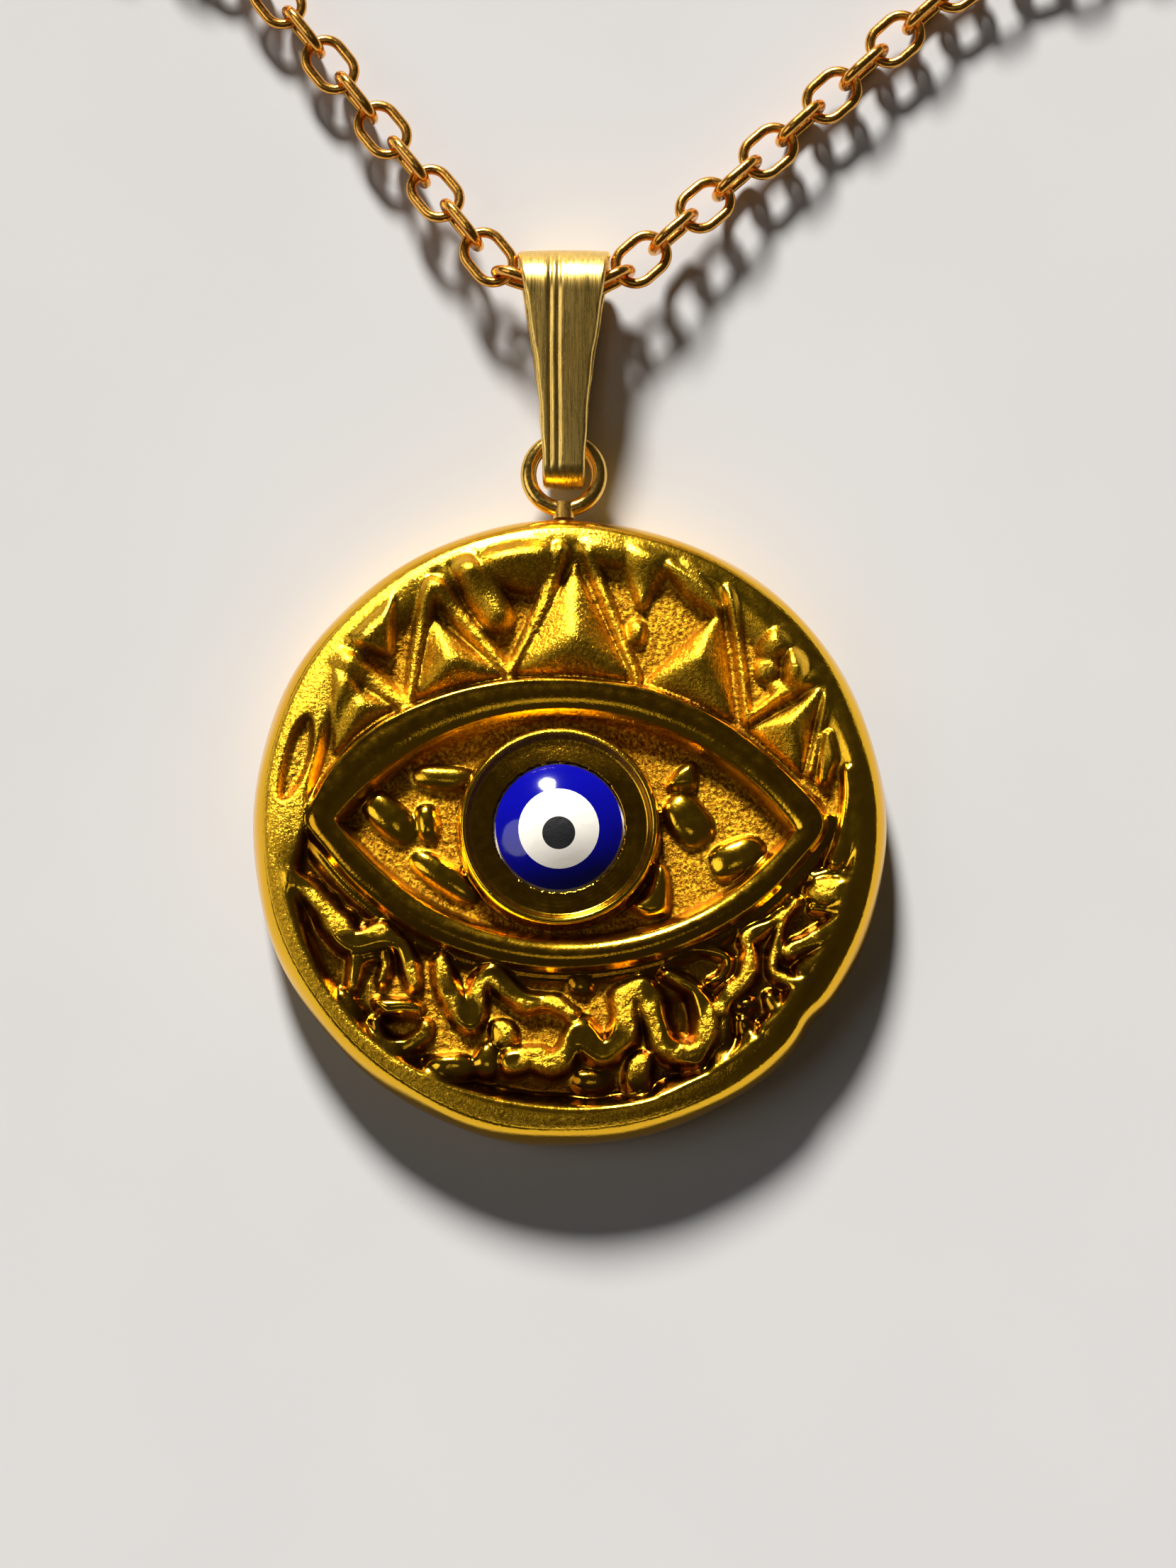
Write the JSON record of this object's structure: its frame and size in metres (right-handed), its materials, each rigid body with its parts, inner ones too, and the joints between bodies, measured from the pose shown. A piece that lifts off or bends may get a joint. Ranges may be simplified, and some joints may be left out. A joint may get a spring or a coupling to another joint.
{
  "type": "evil eye ornament",
  "caption": "Round cast pendant with a domed glass eye bead in a raised almond, on a folded strap bail and a fine oval-link cable chain with a lobster clasp.",
  "frame": {"origin": "centre of the medallion's flat back face, which it lies on", "axes": "+Z out of the medallion's face, +Y from the medallion's centre towards the bail, +X to the right as its face is seen"},
  "size_m": [0.0645, 0.0788, 0.0038],
  "materials": {
    "cast_gold": "polished gold plate over a cast relief, sandy between the raised shapes",
    "ring_gold": "drawn wire, polished gold plate",
    "solder_gold": "gold plate over a lump of solder",
    "bail_gold": "pale gold plate, brushed along the strap",
    "chain_gold": "drawn wire, warm gold plate",
    "clasp_gold": "tumbled gold plate",
    "spring_steel": "bright spring wire",
    "cement": "dull set cement",
    "glass_blue": "opaque fire-polished cobalt glass",
    "glass_white": "opaque fire-polished white glass",
    "glass_black": "opaque black glass, slightly uneven"
  },
  "bodies": {
    "chain": {"link_bail_1": "chain_gold", "link_bail_2": "chain_gold", "link_bail_3": "chain_gold", "link_right_01": "chain_gold", "link_right_02": "chain_gold", "link_right_03": "chain_gold", "link_right_04": "chain_gold", "link_right_05": "chain_gold", "link_right_06": "chain_gold", "link_right_07": "chain_gold", "link_right_08": "chain_gold", "link_right_09": "chain_gold", "link_right_10": "chain_gold", "link_right_11": "chain_gold", "link_right_12": "chain_gold", "link_right_13": "chain_gold", "link_right_14": "chain_gold", "link_right_15": "chain_gold", "chain_coil_right": "chain_gold"},
    "left_strand": {"link_left_01": "chain_gold", "link_left_02": "chain_gold", "link_left_03": "chain_gold", "link_left_04": "chain_gold", "link_left_05": "chain_gold", "link_left_06": "chain_gold", "link_left_07": "chain_gold", "link_left_08": "chain_gold", "link_left_09": "chain_gold", "link_left_10": "chain_gold", "link_left_11": "chain_gold", "link_left_12": "chain_gold", "link_left_13": "chain_gold", "link_left_14": "chain_gold", "chain_coil_left": "chain_gold", "clasp_ring": "chain_gold"},
    "bail": {"bail_strap": "bail_gold"},
    "medallion": {"medallion_casting": "cast_gold", "hanging_ring": "ring_gold", "ring_solder": "solder_gold", "eye_cement": "cement", "eye_base_blue": "glass_blue", "eye_white": "glass_white", "eye_pupil": "glass_black"},
    "clasp": {"clasp_body": "clasp_gold", "clasp_rivet": "clasp_gold", "clasp_spring": "spring_steel"},
    "lever": {"clasp_lever": "clasp_gold"},
    "end_ring": {"end_ring": "chain_gold"}
  },
  "joints": [
    {"name": "bail_swing", "type": "hinge", "parent": "chain", "child": "bail", "pos_m": [-0.0002, 0.0215, 0.00185], "axis": [-1, 0, 0], "range_deg": [0, 90]},
    {"name": "medallion_swing", "type": "hinge", "parent": "bail", "child": "medallion", "pos_m": [-0.0002, 0.01571, 0.0015], "axis": [-1, 0, 0], "range_deg": [0, 90]},
    {"name": "left_strand_swing", "type": "hinge", "parent": "chain", "child": "left_strand", "pos_m": [-0.00291, 0.02252, 0.00185], "axis": [0, 0, 1], "range_deg": [-6, 25]},
    {"name": "clasp_swing", "type": "hinge", "parent": "left_strand", "child": "clasp", "pos_m": [-0.01947, 0.05244, 0.00085], "axis": [0, 0, 1], "range_deg": [-25, 25]},
    {"name": "lever_open", "type": "hinge", "parent": "clasp", "child": "lever", "pos_m": [-0.01548, 0.0545, 0.00085], "axis": [0, 0, -1], "range_deg": [0, 20], "stiffness_Nm_per_rad": 0.002, "springref_deg": -5.73},
    {"name": "end_ring_tilt", "type": "hinge", "parent": "chain", "child": "end_ring", "pos_m": [0.0246, 0.04954, 0.0006], "axis": [0.1908, 0.9816, 0], "range_deg": [0, 85]}
  ]
}
